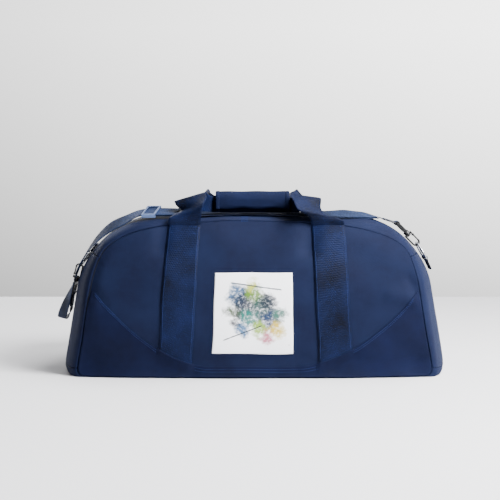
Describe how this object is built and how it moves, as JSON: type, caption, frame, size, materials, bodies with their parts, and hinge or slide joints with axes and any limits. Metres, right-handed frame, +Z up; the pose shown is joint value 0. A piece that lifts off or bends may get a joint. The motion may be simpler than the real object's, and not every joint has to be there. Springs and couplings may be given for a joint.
{
  "type": "hockey equipment bag",
  "caption": "Domed fabric sports bag with a top zip, two wrapped carry handles and a clip-on shoulder strap.",
  "frame": {"origin": "middle of the flat base, on the surface that the bag stands on", "axes": "+X along the bag to its right end as seen from the front, +Y from the front panel to the back, +Z up"},
  "size_m": [0.6286, 0.3022, 0.2864],
  "materials": {
    "shell_fabric": "woven polyester, matt with a slight sheen",
    "web_fabric": "ribbed polypropylene webbing",
    "strap_fabric": "ribbed polypropylene webbing",
    "binding_fabric": "woven binding",
    "zip_fabric": "woven zip tape",
    "coil_plastic": "moulded coil",
    "grip_fabric": "padded woven wrap",
    "hook_tape": "hook and loop tape",
    "print_film": "printed film, satin",
    "ring_steel": "nickel plated",
    "zip_metal": "coated zinc",
    "clip_plastic": "moulded black",
    "adjuster_metal": "plated",
    "board_plastic": "stiff sheet"
  },
  "bodies": {
    "root": {"front_panel": "shell_fabric", "front_lower_panel": "shell_fabric", "back_panel": "shell_fabric", "back_lower_panel": "shell_fabric", "bottom_panel": "shell_fabric", "base_board": "board_plastic", "top_gusset_front": "shell_fabric", "top_gusset_back": "shell_fabric", "end_gusset_left": "shell_fabric", "end_gusset_right": "shell_fabric", "seam_binding_front": "binding_fabric", "seam_binding_back": "binding_fabric", "zip_tape_front": "zip_fabric", "zip_tape_back": "zip_fabric", "zip_coil_front": "coil_plastic", "zip_coil_back": "coil_plastic", "zip_end_stops": "zip_metal", "print_square": "print_film", "front_web_left": "web_fabric", "front_web_right": "web_fabric", "back_web_left": "web_fabric", "back_web_right": "web_fabric", "ring_tab_left": "web_fabric", "ring_tab_right": "web_fabric", "shoulder_strap": "strap_fabric", "strap_adjuster": "adjuster_metal", "strap_return": "strap_fabric"},
    "carry_handles": {"handle_loop_front": "web_fabric", "handle_loop_back": "web_fabric", "grip_pad": "grip_fabric", "grip_loop_tape": "hook_tape"},
    "grip_cover": {"grip_flap": "grip_fabric", "grip_hook_tape": "hook_tape"},
    "slider_left": {"zip_slider_left": "zip_metal"},
    "slider_right": {"zip_slider_right": "zip_metal"},
    "pull_left": {"zip_pull_left": "zip_metal"},
    "pull_right": {"zip_pull_right": "zip_metal"},
    "clip_left": {"d_ring_left": "ring_steel", "hook_eye_left": "clip_plastic", "strap_end_left": "strap_fabric"},
    "hook_left": {"hook_body_left": "clip_plastic"},
    "gate_left": {"hook_gate_left": "clip_plastic"},
    "clip_right": {"d_ring_right": "ring_steel", "hook_eye_right": "clip_plastic", "strap_end_right": "strap_fabric"},
    "hook_right": {"hook_body_right": "clip_plastic"},
    "gate_right": {"hook_gate_right": "clip_plastic"}
  },
  "joints": [
    {"name": "handle_lift", "type": "slide", "parent": "root", "child": "carry_handles", "axis": [0, 0, 1], "range_m": [0, 0.02]},
    {"name": "grip_flap_open", "type": "hinge", "parent": "carry_handles", "child": "grip_cover", "pos_m": [-0.003, -0.021, 0.2818], "axis": [-1, 0, 0], "range_deg": [0, 150]},
    {"name": "zip_slide_left", "type": "slide", "parent": "root", "child": "slider_left", "axis": [-1, 0, 0], "range_m": [0, 0.12]},
    {"name": "zip_slide_right", "type": "slide", "parent": "root", "child": "slider_right", "axis": [1, 0, 0], "range_m": [0, 0.12]},
    {"name": "zip_pull_left_flip", "type": "hinge", "parent": "slider_left", "child": "pull_left", "pos_m": [-0.011, 0, 0.25015], "axis": [0, 1, 0], "range_deg": [0, 105]},
    {"name": "zip_pull_right_flip", "type": "hinge", "parent": "slider_right", "child": "pull_right", "pos_m": [0.011, 0, 0.25015], "axis": [0, -1, 0], "range_deg": [0, 105]},
    {"name": "ring_swing_left", "type": "hinge", "parent": "root", "child": "clip_left", "pos_m": [-0.26696, 0, 0.18209], "axis": [0, 1, 0], "range_deg": [0, 35]},
    {"name": "hook_swivel_left", "type": "hinge", "parent": "clip_left", "child": "hook_left", "pos_m": [-0.28299, 0, 0.16068], "axis": [-0.2515, 0, -0.9679], "range_deg": [-10, 10]},
    {"name": "hook_gate_left_open", "type": "hinge", "parent": "hook_left", "child": "gate_left", "pos_m": [-0.29134, 0, 0.14921], "axis": [0, 1, 0], "range_deg": [0, 18], "stiffness_Nm_per_rad": 0.02, "springref_deg": -5.73},
    {"name": "ring_swing_right", "type": "hinge", "parent": "root", "child": "clip_right", "pos_m": [0.26974, -0.045, 0.17787], "axis": [0, 1, 0], "range_deg": [0, 30]},
    {"name": "hook_swivel_right", "type": "hinge", "parent": "clip_right", "child": "hook_right", "pos_m": [0.25634, -0.045, 0.20101], "axis": [-0.7095, 0, 0.7047], "range_deg": [-10, 10]},
    {"name": "hook_gate_right_open", "type": "hinge", "parent": "hook_right", "child": "gate_right", "pos_m": [0.25063, -0.045, 0.21401], "axis": [0, 1, 0], "range_deg": [0, 18], "stiffness_Nm_per_rad": 0.02, "springref_deg": -5.73}
  ]
}
